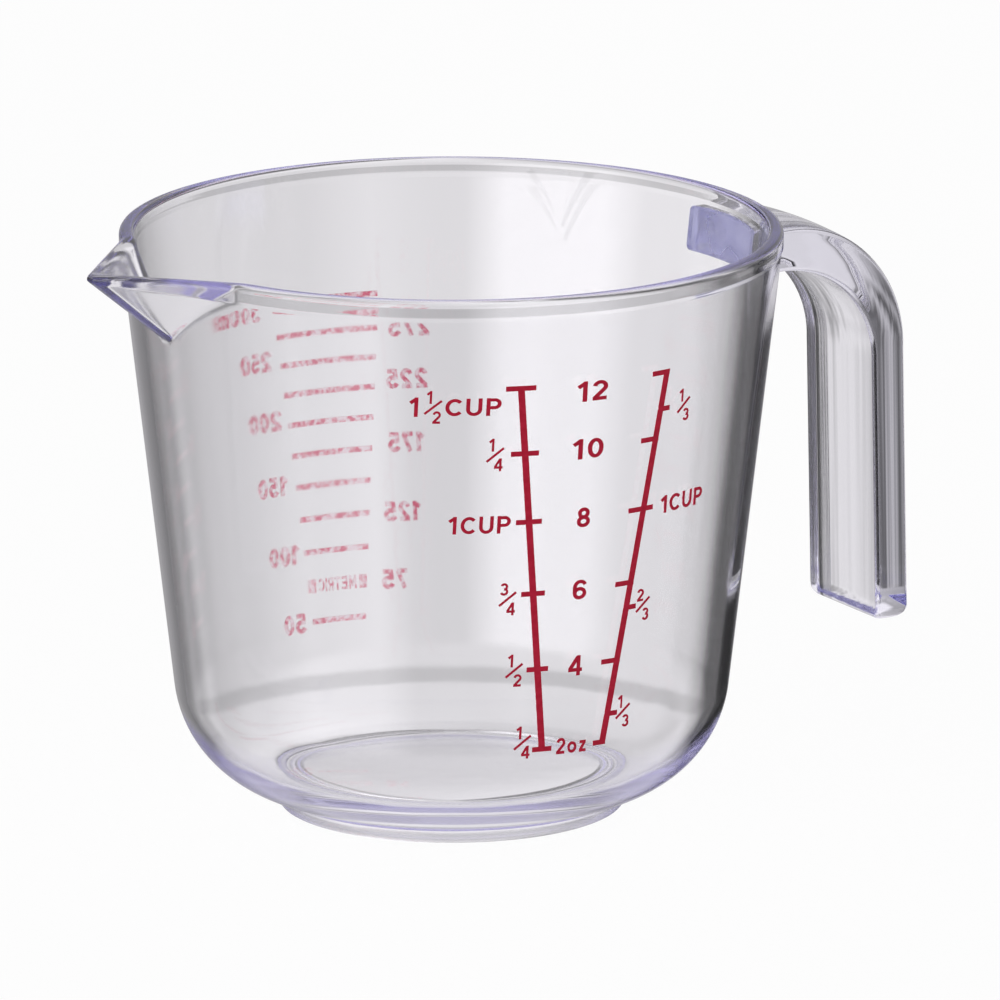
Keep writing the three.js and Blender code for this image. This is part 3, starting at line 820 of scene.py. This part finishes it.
one_cup = text_quads("1CUP", CUP_HEIGHT, 1.12)
printed("cup_word_left", one_cup, -15.4, ounce_height(8) - 0.2, PRINT_AZIMUTH)
printed("cup_word_right", one_cup, 17.8, ounce_height(8), PRINT_AZIMUTH)
printed("cup_word_top", [
    *moved(text_quads("1", CUP_HEIGHT * 1.1, 1.1), -8.4, 0),
    *moved(fraction_quads("1", "2"), -5.7, 0),
    *text_quads("CUP", CUP_HEIGHT, 1.25),
], -17.2, ounce_height(12) - 2.6, PRINT_AZIMUTH)

# Metric scale: ten bars on the back of the wall, with their millilitres at either end in turn and the
# word for the system between two squares at 75 ml. Same ink and letters as the front.
METRIC_AZIMUTH = PRINT_AZIMUTH + math.pi
METRIC_PRINT_LIFT = 0.9
METRIC_HEIGHT = 2.85
METRIC_STROKE = 0.23               # bolder than the front print
METRIC_WORD_HEIGHT = 1.95
METRIC_WORD_STRETCH = 0.75
METRIC_SQUARE = 1.2
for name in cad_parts:
    if name.startswith("metric_bar"):
        print_node(name)

for text, x, shift in (
    ("50", 7.7, 0), ("100", 9.3, 0), ("150", 10.8, 0.6), ("200", 11.65, 1.0), ("250", 12.9, 1.0),
    ("300ml", 16.6, 0),
    ("75", -9.3, 0), ("125", -11.0, 0), ("175", -12.1, 0.7), ("225", -12.7, 1.0), ("275", -13.4, 0),
):
    height = fill_height(int(text.rstrip("ml"))) + METRIC_PRINT_LIFT + shift
    number = text_quads(text, METRIC_HEIGHT, 1, METRIC_STROKE)
    printed(f"metric_number_{text}", number, x, height, METRIC_AZIMUTH)

word = text_quads("METRIC", METRIC_WORD_HEIGHT, METRIC_WORD_STRETCH)
for edge in (-4.3, 4.3):
    word += stroke_quads([(edge, -METRIC_WORD_HEIGHT / 2), (edge, METRIC_WORD_HEIGHT / 2)], METRIC_SQUARE)
printed("metric_word", word, 0, fill_height(75) + METRIC_PRINT_LIFT, METRIC_AZIMUTH)

# Floor: a plain pale table top. It shows white to the camera, and its share of plain matt white keeps the
# jug's shadow. The plastic sees the room through it.
FLOOR_SIZE = 30.0
FLOOR_DROP = 0.0002
FLOOR_SHADOW = 0.05
FLOOR_MATT = (0.9, 0.9, 0.9, 1)
floor_white = bpy.data.materials.new("floor_white")
floor_white.use_nodes = True
floor_tree = floor_white.node_tree
floor_tree.nodes.remove(floor_tree.nodes["Principled BSDF"])
floor_path = floor_tree.nodes.new("ShaderNodeLightPath")
floor_glow = floor_tree.nodes.new("ShaderNodeEmission")
floor_matt = floor_tree.nodes.new("ShaderNodeBsdfDiffuse")
floor_matt.inputs["Color"].default_value = FLOOR_MATT
floor_surface = floor_tree.nodes.new("ShaderNodeMixShader")
floor_surface.inputs["Fac"].default_value = FLOOR_SHADOW
floor_tree.links.new(floor_glow.outputs["Emission"], floor_surface.inputs[1])
floor_tree.links.new(floor_matt.outputs["BSDF"], floor_surface.inputs[2])
floor_clear = floor_tree.nodes.new("ShaderNodeBsdfTransparent")
floor_seen = floor_tree.nodes.new("ShaderNodeMixShader")
floor_tree.links.new(floor_path.outputs["Is Camera Ray"], floor_seen.inputs["Fac"])
floor_tree.links.new(floor_clear.outputs["BSDF"], floor_seen.inputs[1])
floor_tree.links.new(floor_surface.outputs["Shader"], floor_seen.inputs[2])
floor_tree.links.new(floor_seen.outputs["Shader"], floor_tree.nodes["Material Output"].inputs["Surface"])
half_floor = FLOOR_SIZE / 2
floor_mesh = bpy.data.meshes.new("floor")
floor_mesh.from_pydata(
    [(x * half_floor, y * half_floor, -FLOOR_DROP) for x, y in ((-1, -1), (1, -1), (1, 1), (-1, 1))],
    [], [(0, 1, 2, 3)],
)
floor_mesh.materials.append(floor_white)
floor = bpy.data.objects.new("floor", floor_mesh)
scene.collection.objects.link(floor)

# Room: white to the camera on all sides. The plastic sees it as a grey studio, with soft boxes and dark
# cards round the jug, because a clear jug in an all white room would have no edges. Each list gives the
# room's brightness by the angle from straight behind the jug, to the right.
SEEN_THROUGH = (
    (-25, 0.72), (-20, 0.27), (-15, 0.27), (-10, 0.54), (4, 0.88), (10, 0.05), (45, 0.03), (60, 0.72),
)
REFLECTED_LOW = (
    (-165, 0.03), (-150, 1.2), (-120, 1.4), (-95, 0.3), (-64, 0.15), (-57, 0.6), (-50, 0.1), (-43, 0.45),
    (-36, 0.15), (5, 0.5), (10, 0.03), (45, 0.03), (60, 0.7), (72, 0.03), (138, 0.03), (150, 0.4),
    (165, 0.03),
)
REFLECTED_LEVEL = (
    (-175, 0.3), (-160, 2.8), (-122, 2.8), (-105, 0.8), (-45, 0.4), (-30, 0.1), (-15, 0.5), (30, 0.7),
    (90, 0.4), (103, 0.03), (122, 0.03), (150, 1.0), (175, 0.3),
)
TABLE_LEVEL = 0.8
CEILING_LEVEL = 1.0
TABLE_EDGE_SHADE = 0.72             # the table's far edge is a strip of shade, seen through the plastic
TABLE_EDGE = ((-0.303, -0.297), (-0.277, -0.270))
LOW_BEGINS = (-0.62, -0.48)         # heights of a direction between which one level gives way to the next
LEVEL_BEGINS = (-0.16, -0.08)
CEILING_BEGINS = (0.35, 0.5)
BRIGHTEST = 2.8
REFLECTED_DEPTH = 0.5               # a ray that was reflected at least once is above it
ROOM_TINT = (0.99, 0.972, 1.0, 1)
world = bpy.data.worlds.new("white_room")
world.use_nodes = True
scene.world = world
room = world.node_tree
room_path = room.nodes.new("ShaderNodeLightPath")
room_place = room.nodes.new("ShaderNodeTexCoord")
room_way = room.nodes.new("ShaderNodeCombineXYZ")
for axis, way in (("X", view_away), ("Y", view_right)):
    room_side = room.nodes.new("ShaderNodeVectorMath")
    room_side.operation = "DOT_PRODUCT"
    room_side.inputs[1].default_value = way
    room.links.new(room_place.outputs["Generated"], room_side.inputs[0])
    room.links.new(room_side.outputs["Value"], room_way.inputs[axis])
room_angle = room.nodes.new("ShaderNodeTexGradient")
room_angle.gradient_type = "RADIAL"
room.links.new(room_way.outputs["Vector"], room_angle.inputs["Vector"])


def room_level(stops):
    """Brightness round the room, from a list of (angle, brightness)."""
    ramp = room.nodes.new("ShaderNodeValToRGB")
    elements = ramp.color_ramp.elements
    elements.remove(elements[1])
    while len(elements) < len(stops):
        elements.new(1.0)
    for element, (angle, level) in zip(elements, stops):
        element.position = angle / 360 + 0.5
        element.color = [level / BRIGHTEST] * 3 + [1]
    room.links.new(room_angle.outputs["Fac"], ramp.inputs["Fac"])
    return ramp.outputs["Color"]


def room_mix(first, second, factor):
    mix = room.nodes.new("ShaderNodeMix")
    room.links.new(first, mix.inputs["A"])
    room.links.new(second, mix.inputs["B"])
    room.links.new(factor, mix.inputs["Factor"])
    return mix.outputs["Result"]


room_height = room.nodes.new("ShaderNodeSeparateXYZ")
room.links.new(room_place.outputs["Generated"], room_height.inputs["Vector"])


def room_height_share(bounds):
    share = room.nodes.new("ShaderNodeMapRange")
    share.inputs["From Min"].default_value, share.inputs["From Max"].default_value = bounds
    room.links.new(room_height.outputs["Z"], share.inputs["Value"])
    return share.outputs["Result"]


table_level, ceiling_level = ((0, TABLE_LEVEL),), ((0, CEILING_LEVEL),)
room_reflected = room_level(table_level)
for levels, begins in (
    (REFLECTED_LOW, LOW_BEGINS), (REFLECTED_LEVEL, LEVEL_BEGINS), (ceiling_level, CEILING_BEGINS),
):
    room_reflected = room_mix(room_reflected, room_level(levels), room_height_share(begins))
room_mirrored = room.nodes.new("ShaderNodeMath")
room_mirrored.operation = "GREATER_THAN"
room_mirrored.inputs[1].default_value = REFLECTED_DEPTH
room.links.new(room_path.outputs["Glossy Depth"], room_mirrored.inputs[0])
room_through = room_level(SEEN_THROUGH)
shaded = room_level([(angle, level * TABLE_EDGE_SHADE) for angle, level in SEEN_THROUGH])
edge_begins, edge_ends = TABLE_EDGE
room_edge = room_mix(room_through, shaded, room_height_share(edge_begins))
room_through = room_mix(room_edge, room_through, room_height_share(edge_ends))
room_lit = room_mix(room_through, room_reflected, room_mirrored.outputs["Value"])
room_strength = room.nodes.new("ShaderNodeMapRange")
room_strength.clamp = False
room_strength.inputs["To Max"].default_value = BRIGHTEST
room.links.new(room_lit, room_strength.inputs["Value"])
room_seen = room.nodes.new("ShaderNodeMix")
room_seen.inputs["B"].default_value = 1.0
room.links.new(room_strength.outputs["Result"], room_seen.inputs["A"])
room.links.new(room_path.outputs["Is Camera Ray"], room_seen.inputs["Factor"])
room_colour = room.nodes.new("ShaderNodeMix")
room_colour.data_type = "RGBA"
room_colour.inputs["A"].default_value = ROOM_TINT
room_colour.inputs["B"].default_value = (1, 1, 1, 1)
room.links.new(room_path.outputs["Is Camera Ray"], room_colour.inputs["Factor"])
room.links.new(room_colour.outputs["Result"], room.nodes["Background"].inputs["Color"])
room.links.new(room_seen.outputs["Result"], room.nodes["Background"].inputs["Strength"])

# Lamp: one large soft box to the left of the camera, for the print and the floor. The plastic shows it by
# the bright side of the room.
SOFTBOX_TURN = math.radians(42)
SOFTBOX_DISTANCE = 0.9
SOFTBOX_WIDTH = 1.1
SOFTBOX_HEIGHT = 0.8
SOFTBOX_WHITE = 0.8
SOFTBOX_FOOT = 0.2                  # height of its lower edge above the table
softbox = bpy.data.objects.new("softbox", bpy.data.lights.new("softbox", "AREA"))
softbox.data.shape = "RECTANGLE"
softbox.data.size = SOFTBOX_WIDTH
softbox.data.size_y = SOFTBOX_HEIGHT
softbox.data.energy = SOFTBOX_WHITE * math.pi * SOFTBOX_WIDTH * SOFTBOX_HEIGHT
softbox_way = -view_away * math.cos(SOFTBOX_TURN) - view_right * math.sin(SOFTBOX_TURN)
softbox.location = Vector((AXIS_X, 0, SOFTBOX_HEIGHT / 2 + SOFTBOX_FOOT)) + softbox_way * SOFTBOX_DISTANCE
softbox.rotation_euler = (-softbox_way).to_track_quat("-Z", "Y").to_euler()
softbox.visible_camera = False
softbox.visible_glossy = False
softbox.visible_transmission = False
scene.collection.objects.link(softbox)

scene.view_settings.view_transform = "Standard"
# Light travels far inside the rim and the spout before it leaves them
BOUNCES = 128
scene.cycles.max_bounces = BOUNCES
scene.cycles.transmission_bounces = BOUNCES
scene.cycles.glossy_bounces = BOUNCES
scene.cycles.blur_glossy = 0
